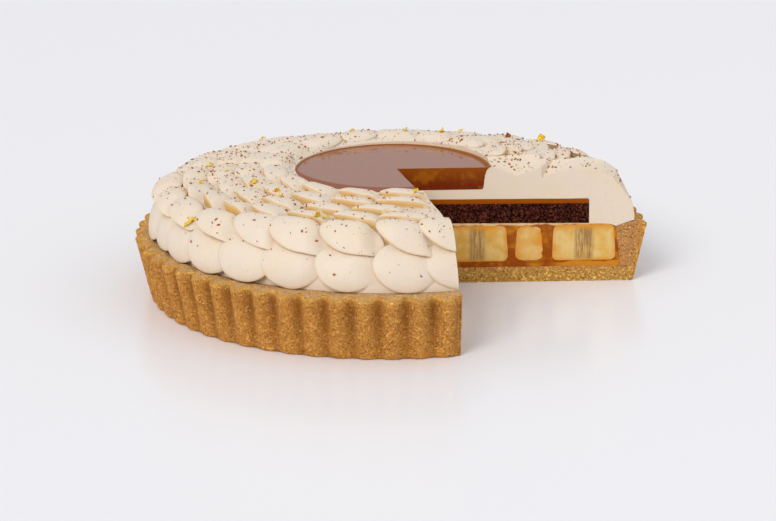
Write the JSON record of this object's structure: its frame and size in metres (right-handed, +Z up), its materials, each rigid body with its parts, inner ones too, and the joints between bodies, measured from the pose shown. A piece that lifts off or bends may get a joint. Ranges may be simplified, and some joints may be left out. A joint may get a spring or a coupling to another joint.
{
  "type": "banoffee tart with a wedge removed",
  "caption": "Round fluted tart with a wedge cut out: crumb crust, caramel and banana filling, chocolate sponge, piped cream petals and a caramel pool on top.",
  "frame": {"origin": "on the tart's axis at its flat underside", "axes": "+Z up; -Y is the front that the picture looks at; the missing wedge lies between +X and -Y"},
  "size_m": [0.239, 0.239, 0.0615],
  "materials": {
    "crust": "baked biscuit crumb, rough and matte",
    "caramel_filling": "soft set caramel, moist",
    "banana": "cut banana, moist and pale",
    "chocolate_sponge": "open dark sponge crumb",
    "caramel_sheet": "set caramel, satin at the cut",
    "cream": "smooth piped cream, soft satin",
    "caramel_pool": "mirror-glossy caramel",
    "chocolate_shavings": "grated chocolate, matte",
    "gold_leaf": "crumpled gold leaf"
  },
  "bodies": {
    "root": {"crust": "crust", "caramel_filling": "caramel_filling", "banana_slice_1": "banana", "banana_slice_2": "banana", "banana_slice_3": "banana", "banana_slice_4": "banana", "banana_slice_5": "banana", "banana_slice_6": "banana", "banana_slice_7": "banana", "chocolate_sponge": "chocolate_sponge", "caramel_sheet": "caramel_sheet", "cream": "cream", "caramel_pool": "caramel_pool"}
  },
  "joints": []
}
